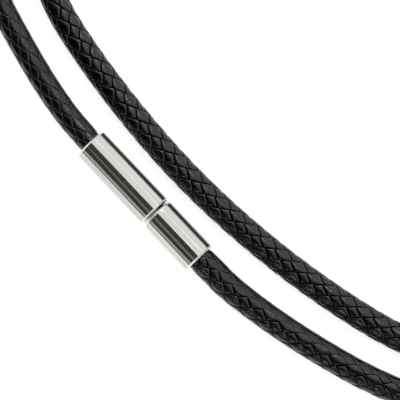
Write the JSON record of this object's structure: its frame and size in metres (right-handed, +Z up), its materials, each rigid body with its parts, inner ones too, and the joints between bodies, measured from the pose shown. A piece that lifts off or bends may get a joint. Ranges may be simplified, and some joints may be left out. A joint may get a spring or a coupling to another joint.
{
  "type": "cord choker necklace",
  "caption": "Braided black cord choker necklace with a steel tube clasp, closed and lying doubled in two turns.",
  "frame": {"origin": "on the surface it lies on, under the middle of the clasp", "axes": "+Z up; +X and +Y in the surface, with the clasp's axis 46.7 degrees from +X towards -Y, plug end on the +X side"},
  "size_m": [0.0755, 0.0764, 0.0064],
  "materials": {
    "cord": "black braided leather strips, satin",
    "steel": "brushed stainless steel"
  },
  "bodies": {
    "root": {"cord": "cord", "clasp_barrel": "steel", "clasp_plug": "steel"}
  },
  "joints": []
}
